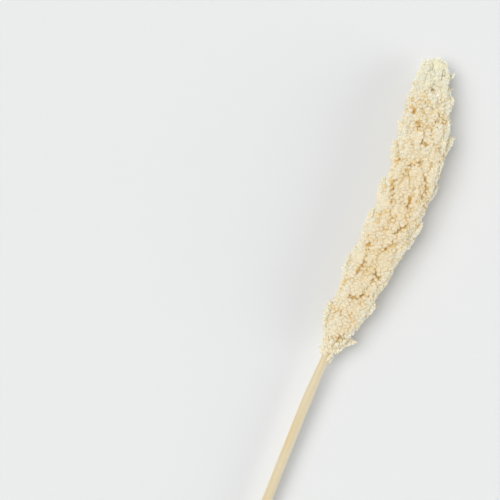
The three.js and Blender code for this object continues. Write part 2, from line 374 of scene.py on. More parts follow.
def along(stations, y, column=1):
    """Value at y of a smooth curve through stations of (y, value, ...), held level past both ends."""
    at = stations[:, 0]
    value = stations[:, column]
    y = np.clip(np.asarray(y, float), at[0], at[-1])
    i = np.clip(np.searchsorted(at, y, "left") - 1, 0, len(at) - 2)
    last = len(at) - 1

    def slope(k):
        before, after = np.maximum(k - 1, 0), np.minimum(k + 1, last)
        return (value[after] - value[before]) / (at[after] - at[before])

    span = at[i + 1] - at[i]
    t = (y - at[i]) / span
    return (
        (2 * t**3 - 3 * t**2 + 1) * value[i]
        + (t**3 - 2 * t**2 + t) * span * slope(i)
        + (3 * t**2 - 2 * t**3) * value[i + 1]
        + (t**3 - t**2) * span * slope(i + 1)
    )


def unit(vectors):
    """Vectors with their directions kept and their lengths made one."""
    return vectors / np.linalg.norm(vectors, axis=-1, keepdims=True)


def centre_at(y):
    """Centre of the stem at y."""
    y = np.asarray(y, float)
    return np.stack([along(AXIS, y, 1), y, along(AXIS, y, 2)], axis=-1)


def stem_frame(y):
    """Forward, side and up directions of the stem at y."""
    forward = centre_at(y + MM) - centre_at(y - MM)
    forward[..., 1] = 2 * MM
    forward = unit(forward)
    side = unit(np.cross(forward, (0, 0, 1)))
    return forward, side, np.cross(side, forward)


def outward(y, angle):
    """Direction away from the axis at y, at an angle from +X."""
    _, side, up = stem_frame(y)
    return side * np.cos(angle)[..., None] + up * np.sin(angle)[..., None]


def envelope(y, angle):
    """How far the head reaches from its axis at y, at an angle from +X."""
    return along(HEAD, y) * (1 - (1 - HEAD_FLATTENING) * np.sin(angle) ** 2)


def chance(seed):
    """A repeatable stream of numbers from 0 to 1, by a linear congruential generator."""
    multiplier, increment, modulus = 1664525, 1013904223, 2**32
    state = seed

    def draw():
        nonlocal state
        state = (state * multiplier + increment) % modulus
        return state / modulus

    return draw


class Clusters:
    """Ellipsoids of grain: centres, the directions of their three half sizes, and those sizes."""

    def __init__(self):
        self.centres, self.axes, self.sizes = [], [], []

    def add(self, y, angle, lean, size, reach):
        """Adds one that grows forward and out from the stem, its far side at its reach from the axis."""
        forward, _, _ = stem_frame(np.array(y))
        out = outward(np.array(y), np.array(angle))
        long = forward * math.cos(lean) + out * math.sin(lean)
        wide = unit(np.cross(long, out))
        deep = np.cross(wide, long)
        own = math.hypot(size[0] * math.sin(lean), size[2] * math.cos(lean))
        self.centres.append(centre_at(y) + out * max(reach - own, 0))
        self.axes.append(np.array((long, wide, deep)))
        self.sizes.append(np.array(size))

    def close(self):
        """Turns the lists into arrays, once all are added."""
        self.centres = np.array(self.centres)
        self.axes = np.array(self.axes)
        self.sizes = np.array(self.sizes)


def set_along(made, count, seed, first_angle, reach_share):
    """Sets clusters at equal areas along the head and by the golden angle round it, by the part's rule."""
    draw = chance(seed)

    def stray():
        return 2 * draw() - 1

    stations = np.arange(round((HEAD_END - HEAD_START) / HEAD_STEP)) * HEAD_STEP + HEAD_START
    widths = along(HEAD, stations) / MM
    passed = np.cumsum(widths) / widths.sum() * count
    for n in range(count):
        y = stations[np.searchsorted(passed, n + 0.5)]
        place = y + SHIFT_ALONG / 2 * stray()
        angle = first_angle + n * GOLDEN_ANGLE + SHIFT_ROUND / 2 * stray()
        share = min(1, max(SMALLEST_CLUSTER, float(along(HEAD, place)) / FULL_SIZE_RADIUS))
        size = [half * share * (1 + SIZE_VARIETY * stray()) for half in CLUSTER_SIZE]
        lean = CLUSTER_LEAN * (1 + LEAN_VARIETY * stray()) * DEGREE
        reach = reach_share * float(envelope(place, np.array(angle))) * (1 + REACH_VARIETY * stray())
        made.add(place, angle, lean, size, reach)


def grain_clusters():
    """The sprays, as in the part, and between them the shorter ones that fill the head."""
    made = Clusters()
    set_along(made, CLUSTERS, CLUSTER_SEED, 0, 1)
    for y, degrees, lean, half, past in STANDOUTS:
        size = (half, CLUSTER_SIZE[1] * STANDOUT_WIDTH, CLUSTER_SIZE[2] * STANDOUT_WIDTH)
        angle = np.array(degrees * DEGREE)
        made.add(y, angle, lean * DEGREE, size, float(envelope(y, angle)) + past)
    for y, degrees, lean, size, reach in NECK_SPRAYS:
        made.add(y, degrees * DEGREE, lean * DEGREE, size, reach)
    set_along(made, FILLERS, CLUSTER_SEED + 1, FILLER_TURN, FILLER_REACH)
    made.close()
    return made


# Places of the grains

# Points tried on each cluster, the least half size of an inset one, and how deep a point may lie in others.
CANDIDATES = 900
SMALLEST_HALF = 0.8 * MM
BURIED = -0.1 * MM


def apart_from_others(points, owner, clusters, sizes):
    """How far each point is outside the nearest cluster that isn't its own."""
    apart = np.full(len(points), np.inf)
    for n, (centre, axes, size) in enumerate(zip(clusters.centres, clusters.axes, sizes)):
        reach = np.linalg.norm((points - centre) @ axes.T / size, axis=1)
        apart = np.minimum(apart, np.where(owner == n, np.inf, (reach - 1) * size.min()))
    return apart


def surface_points(clusters, inset, random):
    """Points spread evenly over the outside of all clusters, with their normals and their clusters."""
    sizes = np.maximum(clusters.sizes - inset, SMALLEST_HALF)
    around = unit(random.normal(size=(len(sizes), CANDIDATES, 3)))
    stretch = np.linalg.norm(around / sizes[:, None], axis=2)
    stretch /= stretch.max(axis=1, keepdims=True)
    kept = random.random_sample(stretch.shape) < stretch
    owner = np.nonzero(kept)[0]
    local = around[kept] * sizes[owner]
    normal = unit(np.einsum("ni,nij->nj", local / sizes[owner] ** 2, clusters.axes[owner]))
    point = clusters.centres[owner] + np.einsum("ni,nij->nj", local, clusters.axes[owner])
    outside = apart_from_others(point, owner, clusters, sizes) > BURIED
    return point[outside], normal[outside], owner[outside]


def core_reach(y, angle):
    """How far the dense middle of the head reaches from the axis. It is slim at the neck."""
    share = CORE_SHARE + (NECK_CORE_SHARE - CORE_SHARE) * np.clip((NECK_END - y) / NECK_LENGTH, 0, 1)
    return share * envelope(y, angle)


def core_points(clusters, random):
    """Points spread over the dense middle of the head wherever no cluster hides it."""
    y = random.uniform(HEAD_START, HEAD_END, CORE_CANDIDATES)
    angle = random.uniform(0, 2 * math.pi, CORE_CANDIDATES)
    out = outward(y, angle)
    point = centre_at(y) + out * core_reach(y, angle)[:, None]
    bare = np.ones(CORE_CANDIDATES, bool)
    for centre, axes, size in zip(clusters.centres, clusters.axes, clusters.sizes):
        bare &= np.linalg.norm((point - centre) @ axes.T / size, axis=1) > CORE_BARE
    return point[bare], out[bare]


def spaced(points, spacings, random):
    """Indices of points no nearer to each other than a spacing. Each smaller spacing fills what is left."""
    cells = {}
    taken = []
    keys = np.floor(points / max(spacings)).astype(int).tolist()
    near = [(i, j, k) for i in (-1, 0, 1) for j in (-1, 0, 1) for k in (-1, 0, 1)]
    coordinates = points.tolist()

    def free(n, limit):
        x, y, z = coordinates[n]
        a, b, c = keys[n]
        for i, j, k in near:
            for m in cells.get((a + i, b + j, c + k), ()):
                u, v, w = coordinates[m]
                if (x - u) ** 2 + (y - v) ** 2 + (z - w) ** 2 < limit:
                    return False
        return True

    for spacing in spacings:
        for n in random.permutation(len(points)).tolist():
            if free(n, spacing**2):
                cells.setdefault(tuple(keys[n]), []).append(n)
                taken.append(n)
    return np.array(taken, int)


# Modelling helpers


def lay_down(points, radius=0):
    """Points raised to at least a radius above the surface that the stem lies on."""
    points[:, 2] = np.maximum(points[:, 2], radius)
    return points


def select_only(piece):
    if bpy.context.object and bpy.context.object.mode != "OBJECT":
        bpy.ops.object.mode_set(mode="OBJECT")
    bpy.ops.object.select_all(action="DESELECT")
    piece.select_set(True)
    bpy.context.view_layer.objects.active = piece


def begin(name):
    """The primitive that was just added, named and ready for edit mode."""
    piece = bpy.context.object
    piece.name = name
    piece.data.name = name
    select_only(piece)
    return piece


def pull(piece, chosen, scale=(1, 1, 1), move=(0, 0, 0)):
    """Scales and moves the chosen vertices, as with a selection in edit mode."""
    bpy.ops.object.mode_set(mode="OBJECT")
    for vertex in piece.data.vertices:
        vertex.select = chosen(vertex.co)
    bpy.ops.object.mode_set(mode="EDIT")
    bpy.ops.transform.resize(value=scale, center_override=(0, 0, 0))
    bpy.ops.transform.translate(value=move)
    bpy.ops.object.mode_set(mode="OBJECT")


def corners_of(mesh):
    """Places of a mesh's vertices."""
    return np.array([vertex.co for vertex in mesh.vertices])


def set_corners(mesh, places):
    """Moves a mesh's vertices to new places."""
    mesh.vertices.foreach_set("co", places.astype(np.float32).ravel())
    mesh.update()


def store(mesh, values):
    """Keeps a number for each vertex under each name, for the materials to read."""
    for name, value in values.items():
        stored = mesh.attributes.new(name, "FLOAT", "POINT")
        stored.data.foreach_set("value", value.astype(np.float32))


def template(piece):
    """Vertices and faces of a piece that is modelled once and copied. The piece itself goes."""
    mesh = piece.data
    corners = corners_of(mesh)
    faces = [list(face.vertices) for face in mesh.polygons]
    bpy.data.objects.remove(piece)
    bpy.data.meshes.remove(mesh)
    return corners, faces


def ball(name, segments, rings):
    """A sphere of radius one, its poles on the z axis. What shapes it is given in shares of a half size."""
    bpy.ops.object.select_all(action="DESELECT")
    bpy.ops.mesh.primitive_uv_sphere_add(segments=segments, ring_count=rings, radius=1)
    return begin(name)


def grain_shape():
    """A grain, one unit in half size: round, blunt at its foot, drawn to a short point."""
    grain = ball("grain", 8, 5)
    pull(grain, lambda co: co.z > 0.95, move=(0, 0, 0.06))
    pull(grain, lambda co: co.z < -0.8, scale=(0.8, 0.8, 0.9))
    return template(grain)


def inner_grain_shape():
    """A grain that only shows between others, so plainly round."""
    return template(ball("inner_grain", 6, 4))


def husk_shape():
    """A husk, one unit in half size: a thin cupped scale with a pointed end."""
    husk = ball("husk", 6, 4)
    pull(husk, lambda co: True, scale=(1, 0.22, 1))
    pull(husk, lambda co: abs(co.x) > 0.6, move=(0, -0.34, 0))
    pull(husk, lambda co: co.z > 0.9, move=(0, -0.3, 0.25))
    pull(husk, lambda co: co.z < -0.9, move=(0, -0.35, 0))
    return template(husk)


def spray_shape():
    """A spray's plain round form, which the fused skin takes up."""
    return template(ball("spray", 12, 14))


def floret_shape():
    """An unfilled floret, one unit in half size: a slim folded spindle that gapes a little at its end."""
    floret = ball("floret", 6, 6)
    pull(floret, lambda co: co.z > 0.4, scale=(0.72, 0.72, 1))
    pull(floret, lambda co: co.z > 0.95, move=(0.25, 0, 0.15))
    pull(floret, lambda co: co.z < -0.4, scale=(0.6, 0.6, 1))
    return template(floret)


def turned(pointing, random):
    """Directions of copies that point their way, each turned by chance about it."""
    along_z = unit(pointing)
    upright = np.abs(along_z[:, 2:]) > 0.9
    helper = np.where(upright, (1.0, 0.0, 0.0), (0.0, 0.0, 1.0))
    first = unit(np.cross(helper, along_z))
    second = np.cross(along_z, first)
    turns = random.uniform(0, 2 * math.pi, (len(along_z), 1))
    x_axis = first * np.cos(turns) + second * np.sin(turns)
    return np.stack([x_axis, np.cross(along_z, x_axis), along_z], axis=1)


def scatter(name, shape, places, directions, sizes, attributes):
    """One mesh of many copies of a shape, each at its place, with its own directions and size."""
    corners, faces = shape
    count = len(places)
    placed = np.einsum("vi,ni,nij->nvj", corners, sizes, directions) + places[:, None]
    placed = lay_down(placed.reshape(-1, 3))

    mesh = bpy.data.meshes.new(name)
    mesh.vertices.add(count * len(corners))
    mesh.vertices.foreach_set("co", placed.astype(np.float32).ravel())
    one_loop = np.concatenate(faces)
    lengths = np.array([len(face) for face in faces])
    loops = (one_loop[None] + (np.arange(count) * len(corners))[:, None]).ravel()
    totals = np.tile(lengths, count)
    mesh.loops.add(len(loops))
    mesh.loops.foreach_set("vertex_index", loops.astype(np.int32))
    mesh.polygons.add(len(totals))
    starts = np.concatenate([[0], np.cumsum(totals)[:-1]])
    mesh.polygons.foreach_set("loop_start", starts.astype(np.int32))
    mesh.polygons.foreach_set("use_smooth", np.ones(len(totals), bool))
    mesh.update(calc_edges=True)
    height = (corners[:, 2] - corners[:, 2].min()) / np.ptp(corners[:, 2])
    values = {key: np.repeat(value, len(corners)) for key, value in attributes.items()}
    values["height"] = np.tile(height, count)
    store(mesh, values)
    piece = bpy.data.objects.new(name, mesh)
    bpy.context.scene.collection.objects.link(piece)
    return piece


# Materials


class Shader:
    """A material's node tree, with short calls for the nodes that these materials are made of."""

    def __init__(self, name):
        self.material = bpy.data.materials.new(name)
        self.material.use_nodes = True
        self.tree = self.material.node_tree
        self.surface = self.tree.nodes["Principled BSDF"]

    def node(self, kind, **settings):
        """A new node with its settings."""
        made = self.tree.nodes.new(kind)
        for key, value in settings.items():
            setattr(made, key, value)
        return made

    def put(self, value, socket):
        """Links a node's output to a socket, or sets the socket to a plain value."""
        if isinstance(value, bpy.types.NodeSocket):
            self.tree.links.new(value, socket)
        else:
            socket.default_value = value

    def attribute(self, name):
        """A number that is stored for each vertex of the piece."""
        return self.node("ShaderNodeAttribute", attribute_name=name).outputs["Fac"]

    def position(self, scale=(1, 1, 1)):
        """Object coordinates, scaled along each axis."""
        coordinates = self.node("ShaderNodeTexCoord").outputs["Object"]
        mapping = self.node("ShaderNodeMapping")
        mapping.inputs["Scale"].default_value = scale
        self.put(coordinates, mapping.inputs["Vector"])
        return mapping.outputs["Vector"]

    def noise(self, scale, detail=2.0, stretch=(1, 1, 1)):
        """Soft noise in space, drawn out along an axis where its stretch is small."""
        made = self.node("ShaderNodeTexNoise")
        made.inputs["Scale"].default_value = scale
        made.inputs["Detail"].default_value = detail
        self.put(self.position(stretch), made.inputs["Vector"])
        return made.outputs["Fac"]

    def ramp(self, value, low, high, to_low=0.0, to_high=1.0):
        """A smooth change from one number to another while the value goes from low to high."""
        made = self.node("ShaderNodeMapRange", interpolation_type="SMOOTHSTEP")
        made.inputs["From Min"].default_value = low
        made.inputs["From Max"].default_value = high
        made.inputs["To Min"].default_value = to_low
        made.inputs["To Max"].default_value = to_high
        self.put(value, made.inputs["Value"])
        return made.outputs["Result"]

    def mix(self, share, first, second):
        """A colour between two others, by the share of the second."""
        made = self.node("ShaderNodeMix", data_type="RGBA")
        colours = [socket for socket in made.inputs if socket.type == "RGBA"]
        self.put(share, made.inputs["Factor"])
        self.put(first, colours[0])
        self.put(second, colours[1])
        return next(socket for socket in made.outputs if socket.type == "RGBA")

    def times(self, first, second):
        made = self.node("ShaderNodeMath", operation="MULTIPLY")
        self.put(first, made.inputs[0])
        self.put(second, made.inputs[1])
        return made.outputs["Value"]

    def bump(self, height, strength, distance):
        """Roughness too fine to model."""
        made = self.node("ShaderNodeBump")
        made.inputs["Strength"].default_value = strength
        made.inputs["Distance"].default_value = distance
        self.put(height, made.inputs["Height"])
        self.put(made.outputs["Normal"], self.surface.inputs["Normal"])

    def finish(self, colour, roughness, specular=0.4, subsurface=0.0, subsurface_scale=MM, sheen=0.0):
        """Sets the surface and returns the material."""
        self.put(colour, self.surface.inputs["Base Color"])
        self.surface.inputs["Roughness"].default_value = roughness
        self.surface.inputs["Specular IOR Level"].default_value = specular
        self.surface.inputs["Subsurface Weight"].default_value = subsurface
        self.surface.inputs["Subsurface Scale"].default_value = subsurface_scale
        self.surface.inputs["Sheen Weight"].default_value = sheen
        self.surface.inputs["Subsurface Radius"].default_value = GLOW_REACH
        return self.material


def srgb(red, green, blue):
    """A colour given as it looks, 0 to 255, in the linear light that shaders count in."""

    def linear(value):
        share = value / 255
        return share / 12.92 if share <= 0.04045 else ((share + 0.055) / 1.055) ** 2.4

    return (linear(red), linear(green), linear(blue), 1.0)


CREAM = srgb(224, 215, 192)
ROSY = srgb(227, 208, 172)
PALE = srgb(219, 218, 200)
SEAM = srgb(234, 224, 197)
TIP_SEAM = srgb(234, 228, 196)
# Amber of clefts and seams, and their deepest amber: partly the own colour of branches and husks there,
# partly painted shade of the crease.
AMBER = srgb(221, 200, 146)
DEEP_AMBER_SHADE = srgb(205, 168, 96)
HUSK = srgb(246, 238, 212)
SHADED_HUSK = srgb(238, 222, 184)
GLOSSY_HUSK = srgb(255, 253, 246)
GLOSSY_VEIN = srgb(250, 246, 232)
IVORY = srgb(236, 233, 208)
WARM_IVORY = srgb(236, 228, 196)
STRAW = srgb(210, 196, 163)
DULL_STRAW = srgb(202, 186, 149)
GOLDEN_STRAW = srgb(210, 187, 141)
PITH = srgb(236, 222, 186)
PITH_CELL = srgb(206, 180, 130)
FLOOR_COLOUR = srgb(219, 220, 221)

# The faint whitish bloom of dry straw and grain, and how far light of each colour glows through them.
BLOOM = 0.5
GLOW_REACH = (1.0, 0.92, 0.84)


def grain_material():
    shader = Shader("bleached_grain")
    ripe = shader.mix(shader.attribute("tone"), CREAM, ROSY)
    young = shader.mix(shader.attribute("paleness"), ripe, PALE)
    height = shader.attribute("height")
    # The foot of each grain, low between its neighbours, takes the seam colour: painted bounce light of the
    # crevices between grains.
    foot = shader.ramp(height, low=0.6, high=0.95, to_low=0.8, to_high=0.0)
    footed = shader.mix(foot, young, SEAM)
    # Grains in clefts and seams warm towards amber: partly their own colour there, partly painted shade.
    closed = shader.attribute("closed")
    warmth = shader.ramp(closed, low=0.0, high=1.0, to_high=0.35)
    warmed = shader.mix(warmth, footed, AMBER)
    # The low part of a grain in a cleft or seam goes deep amber: painted shade over the crease amber.
    shade_low_in_crease = shader.ramp(height, low=0.55, high=0.9, to_low=1.0, to_high=0.0)
    deep = shader.mix(shader.times(shade_low_in_crease, closed), warmed, DEEP_AMBER_SHADE)
    shader.bump(shader.noise(1400.0), strength=0.25, distance=0.2 * MM)
    return shader.finish(
        deep, roughness=0.6, specular=0.2, subsurface=0.6, subsurface_scale=MM, sheen=BLOOM,
    )


def body_material():
    shader = Shader("seams")
    plain = shader.mix(shader.attribute("tone"), SEAM, ROSY)
    pale = shader.mix(shader.attribute("paleness"), plain, TIP_SEAM)
    # Clefts and seams in the skin go deep amber: partly the own colour of branches there, partly painted
    # shade.
    closed = shader.mix(shader.attribute("closed"), pale, DEEP_AMBER_SHADE)
    shader.bump(shader.noise(900.0), strength=0.3, distance=0.2 * MM)
    return shader.finish(closed, roughness=0.7, specular=0.1)


def husk_material():
    shader = Shader("papery_husk")
    plain = shader.mix(shader.attribute("tone"), HUSK, SHADED_HUSK)
    # Husks in clefts and seams take amber: partly their own colour there, partly painted shade.
    closed = shader.mix(shader.attribute("closed"), plain, AMBER)
    shader.bump(shader.noise(900.0, stretch=(1, 0.3, 1)), strength=0.3, distance=0.2 * MM)
    return shader.finish(closed, roughness=0.38, specular=0.5)


def glossy_material():
    shader = Shader("glossy_husk")
    veins = shader.ramp(shader.noise(900.0, stretch=(1, 0.3, 1)), low=0.3, high=0.7)
    return shader.finish(shader.mix(veins, GLOSSY_HUSK, GLOSSY_VEIN), roughness=0.22, specular=0.8)


def floret_material():
    shader = Shader("ivory_floret")
    plain = shader.mix(shader.attribute("tone"), IVORY, WARM_IVORY)
    closed = shader.mix(shader.attribute("closed"), plain, AMBER)
    shader.bump(shader.noise(1200.0, stretch=(1, 0.25, 1)), strength=0.25, distance=0.2 * MM)
    return shader.finish(
        closed, roughness=0.7, specular=0.1, subsurface=0.7, subsurface_scale=1.5 * MM, sheen=BLOOM,
    )


def cane_material():
    shader = Shader("straw_cane")
    streaks = shader.ramp(shader.noise(700.0, detail=3.0, stretch=(1, 0.02, 1)), low=0.35, high=0.65)
    spots = shader.ramp(shader.noise(60.0, stretch=(1, 0.3, 1)), low=0.4, high=0.65, to_high=0.8)
    streaked = shader.mix(streaks, STRAW, DULL_STRAW)
    patched = shader.mix(spots, streaked, GOLDEN_STRAW)
    shader.bump(shader.noise(1500.0, stretch=(1, 0.015, 1)), strength=0.35, distance=0.2 * MM)
    return shader.finish(patched, roughness=0.42, specular=0.4, sheen=BLOOM)


def pith_material():
    shader = Shader("pith")
    cells = shader.noise(1800.0, detail=3.0)
    shader.bump(cells, strength=0.8, distance=0.3 * MM)
    colour = shader.mix(shader.ramp(cells, low=0.35, high=0.65), PITH, PITH_CELL)
    return shader.finish(colour, roughness=0.85)


def floor_material():
    return Shader("pale_surface").finish(FLOOR_COLOUR, roughness=0.9, specular=0.1)


# Pieces of the head


def head_angles(points):
    """Angle round the axis, outward direction and distance from the axis of points on the head."""
    forward, side, up = stem_frame(points[:, 1])
    offset = points - centre_at(points[:, 1])
    across = (offset * side).sum(axis=1)
    above = (offset * up).sum(axis=1)
    angle = np.arctan2(above, across)
    return angle, side * np.cos(angle)[:, None] + up * np.sin(angle)[:, None], np.hypot(across, above)


def off_the_cane(points, clearance):
    """Which points are clear of the cane and rachis."""
    _, _, distance = head_angles(points)
    return distance > along(CANE, points[:, 1]) + clearance


def layer(clusters, inset, spacings, seed):
    """Places of grains or florets over the clusters: point, normal and owner."""
    random = np.random.RandomState(seed)
    point, normal, owner = surface_points(clusters, inset, random)
    point = lay_down(point, GRAIN_HALF[0])
    free = off_the_cane(point, CANE_CLEARANCE)
    point, normal, owner = point[free], normal[free], owner[free]
    kept = spaced(point, spacings, random)
    return point[kept], normal[kept], owner[kept]


def inner_layer(clusters, seed):
    """Grains that fill the gaps between the outer ones, and cover the middle between the clusters."""
    random = np.random.RandomState(seed)
    point, normal, _ = surface_points(clusters, INNER_INSET, random)
    bare, bare_out = core_points(clusters, random)
    point = lay_down(np.concatenate([point, bare]), GRAIN_HALF[0])
    normal = np.concatenate([normal, bare_out])
    free = off_the_cane(point, CANE_CLEARANCE)
    point, normal = point[free], normal[free]
    kept = spaced(point, INNER_SPACINGS, random)
    return point[kept], normal[kept]


def tree_of(points):
    """A tree that finds the nearest of the points."""
    tree = KDTree(len(points))
    for n, point in enumerate(points):
        tree.insert(point, n)
    tree.balance()
    return tree


def room_around(points, neighbours=5):
    """Mean distance from each point to its nearest neighbours."""
    tree = tree_of(points)
    return np.array([
        np.mean([distance for _, _, distance in tree.find_n(point, neighbours + 1)[1:]])
        for point in points
    ])


def waves(points, period, seed, count=7):
    """A smooth random field of about -1 to 1, from a few plane waves."""
    random = np.random.RandomState(seed)
    total = np.zeros(len(points))
    for way in unit(random.normal(size=(count, 3))):
        length = period * random.uniform(*WAVE_LENGTHS)
        phase = random.uniform(0, WAVE_PHASE)
        total += np.sin(points @ way * 2 * math.pi / length + phase)
    return total / math.sqrt(count / 2) / 2


def smooth_step(value, low, high):
    """0 below low, 1 above high, and a smooth rise between them."""
    share = np.clip((value - low) / (high - low), 0, 1)
    return share**2 * (3 - 2 * share)


def above_axis(points):
    """How far each point is of the upper side, 0 to 1."""
    return smooth_step(points[:, 2] - along(AXIS, points[:, 1], 2), 0, UPPER_SIDE)


def seen_at(pixel, height):
    """Where a pixel of the photo lies, at a height above the surface: x and y."""
    scale = (CAMERA_HEIGHT - height) * CAMERA_FILM / CAMERA_LENS / PHOTO_WIDTH
    right = (pixel[0] - PHOTO_WIDTH / 2) * scale
    up = (PHOTO_WIDTH / 2 - pixel[1]) * scale
    return np.array((
        CAMERA_CENTRE.x + right * math.cos(PHOTO_TURN) - up * math.sin(PHOTO_TURN),
        CAMERA_CENTRE.y + right * math.sin(PHOTO_TURN) + up * math.cos(PHOTO_TURN),
    ))


def cleft_line(start, end):
    """Middle, half length and direction of a cleft, seen from above, from the pixels of its ends."""
    first, second = seen_at(start, CLEFT_HEIGHT), seen_at(end, CLEFT_HEIGHT)
    across, onward = second - first
    half = round(math.hypot(across, onward) / 2, PHOTO_DIGITS)
    angle = round(math.atan2(across, onward) / DEGREE) * DEGREE
    way = np.array((math.sin(angle), math.cos(angle)))
    return np.round((first + second) / 2, PHOTO_DIGITS), half, way


def cleft(points, core, width):
    """How near each point is to the middle of a cleft on the upper side, 0 to 1."""
    nearest = np.full(len(points), np.inf)
    wandering = [CLEFT_WANDER * waves(points, CLEFT_BEND, seed) for seed in WANDER_SEEDS]
    place = points[:, :2] + np.stack(wandering, axis=1)
    for ends in CLEFT_ENDS:
        middle, half, way = cleft_line(*ends)
        offset = place - middle
        along_it = np.clip(offset @ way, -half, half)
        nearest = np.minimum(nearest, np.linalg.norm(offset - along_it[:, None] * way, axis=1))
    open_here = smooth_step(waves(points, CLEFT_BREAKS, CLEFT_BREAK_SEED), *CLEFT_OPEN)
    return above_axis(points) * open_here * (1 - smooth_step(nearest, core, width))


def seam(points, clusters, core, width):
    """How near each point is to a line where two sprays part, 0 to 1. The lines fade in and out."""
    first = np.full(len(points), np.inf)
    second = first.copy()
    for centre, axes, size in zip(clusters.centres, clusters.axes, clusters.sizes):
        outside = (np.linalg.norm((points - centre) @ axes.T / size, axis=1) - 1) * size.min()
        second = np.minimum(second, np.maximum(first, outside))
        first = np.minimum(first, outside)
    open_here = smooth_step(waves(points, SEAM_BREAKS, SEAM_BREAK_SEED), *SEAM_OPEN)
    strength = SEAM_LEAST + (1 - SEAM_LEAST) * open_here
    return strength * (1 - smooth_step(second - first, core, width))


def sunk(points, clusters):
    """Points moved towards the axis where a cleft or a seam runs."""
    _, out, _ = head_angles(points)
    depth = CLEFT_DEPTH * cleft(points, *CLEFT_WALLS) + SEAM_DEPTH * seam(points, clusters, *SEAM_FURROW)
    return points - out * depth[:, None]


def crease_amber_and_shade(points, clusters):
    """How far each point takes the amber of clefts and seams, 0 to 1: partly the own colour of branches and
    husks there, partly painted shade of the crease.
    """
    strength = SEAM_SHARE * (1 - tip_share(points)) * (1 - SEAM_PALING * foot_share(points))
    return np.maximum(cleft(points, *CLEFT_TINT), strength * seam(points, clusters, *SEAM_TINT))


def side_sheen(points):
    """How far each point lies down the side of the head, where the grains are palest, 0 to 1: a painted
    sheen of light grazing the sides.
    """
    _, out, _ = head_angles(points)
    return 1 - smooth_step(out[:, 2], *FLANK)


def grain_tones(points, own, random):
    """Tone of each grain: that of its spray, of the patch it lies in, and a little of its own; less rosy
    down the sides, as painted sheen.
    """
    patch = smooth_step(waves(points, PATCH, PATCH_SEED), *PATCH_CHANGE)
    grain = random.random_sample(len(points))
    tone = TONE_LEAST + TONE_OF_SPRAY * own + TONE_OF_PATCH * patch + TONE_OF_GRAIN * grain
    return np.clip(tone, 0, 1) * (1 - SIDE_SHEEN_PALING * side_sheen(points))


def paleness(points):
    """How far each grain takes the pale colour of tip, foot and sides, 0 to 1; on the sides it is painted
    sheen.
    """
    tip = np.clip((points[:, 1] - PALE_START) / PALE_LENGTH, 0, 1)
    pale = TIP_PALENESS * tip + FOOT_PALENESS * foot_share(points) + SIDE_SHEEN_PALENESS * side_sheen(points)
    return np.clip(pale, 0, 1)


def tip_clusters(clusters):
    """The clusters, and those of the tip, which close its blunt end and give it its shoulders."""
    tipped = Clusters()
    tipped.centres = list(clusters.centres)
    tipped.axes = list(clusters.axes)
    tipped.sizes = list(clusters.sizes)
    for y, degrees, lean, size, reach in TIP_SPRAYS:
        tipped.add(y, degrees * DEGREE, lean * DEGREE, size, reach)
    tipped.close()
    return tipped


def tip_share(points):
    """Share of florets among the grains: none below the tip, all at its end."""
    return np.clip((points[:, 1] - FLORET_START) / (FLORET_FULL - FLORET_START), 0, 1)


def varied(size, spread, count, random):
    """Sizes of copies that differ a little from each other."""
    return size * (1 + spread * random.normal(size=(count, 1)).clip(-VARIETY_LIMIT, VARIETY_LIMIT))


def forward_at(places):
    """Forward direction of the stem beside each place."""
    return stem_frame(places[:, 1])[0]


def neck_share(places):
    """How far each place is of the neck, 0 to 1."""
    return np.clip((NECK_END - places[:, 1]) / NECK_LENGTH, 0, 1)


def foot_share(places):
    """How far the grains are of the paler lower part of the head, 0 to 1."""
    return np.clip((FOOT_END - places[:, 1]) / FOOT_LENGTH, 0, 1)


def build_grains(places, normals, room, attributes, random):
    """The grains of the head in three pieces, from the neck up."""
    neck = neck_share(places)[:, None]
    count = len(places)
    stray = GRAIN_STRAY * random.normal(size=(count, 3))
    directions = turned(normals + forward_at(places) * (GRAIN_TILT + NECK_TILT * neck) + stray, random)
    sizes = varied(GRAIN_HALF, GRAIN_VARIETY, count, random) * room[:, None] * (1 + neck * NECK_GRAIN)
    shape = grain_shape()
    thirds = np.array_split(np.argsort(places[:, 1]), 3)
    return [
        scatter(
            f"grains_{part}", shape, places[share], directions[share], sizes[share],
            {key: value[share] for key, value in attributes.items()},
        )
        for part, share in zip(("lower", "middle", "upper"), thirds)
    ]


def build_inner_grains(clusters, random):
    """The plainer grains behind the outer ones, warmer in colour: painted shade of their depth."""
    inner, normals = inner_layer(clusters, GRAIN_SEED + 2)
    # Inner grains go amber as painted shade of their depth, less at tip and neck; in clefts and seams they
    # take the crease amber and painted shade.
    amber = INNER_AMBER_SHADE * (1 - tip_share(inner)) * (1 - neck_share(inner))
    closed = np.maximum(crease_amber_and_shade(inner, clusters), amber)
    inner = lay_down(sunk(inner, clusters), GRAIN_HALF[0])
    return scatter(
        "grains_inner", inner_grain_shape(), inner,
        turned(normals + INNER_TILT * forward_at(inner), random),
        varied(GRAIN_HALF, INNER_VARIETY, len(inner), random),
        {"tone": random.random_sample(len(inner)), "paleness": tip_share(inner), "closed": closed},
    )


def build_husks(places, normals, closed, random):
    """A husk beside each grain, cupped round its foot."""
    count = len(places)
    sideways = unit(random.normal(size=(count, 3)))
    sideways = unit(sideways - (sideways * normals).sum(axis=1, keepdims=True) * normals)
    at = places + sideways * HUSK_ASIDE + normals * random.uniform(*HUSK_DEPTHS, (count, 1))
    pointing = normals + HUSK_TILT * forward_at(places) + HUSK_LEAN * sideways
    return scatter(
        "husks", husk_shape(), lay_down(at, HUSK_REST), turned(pointing, random),
        varied(HUSK_HALF, HUSK_VARIETY, count, random),
        {"tone": random.random_sample(count), "closed": closed},
    )


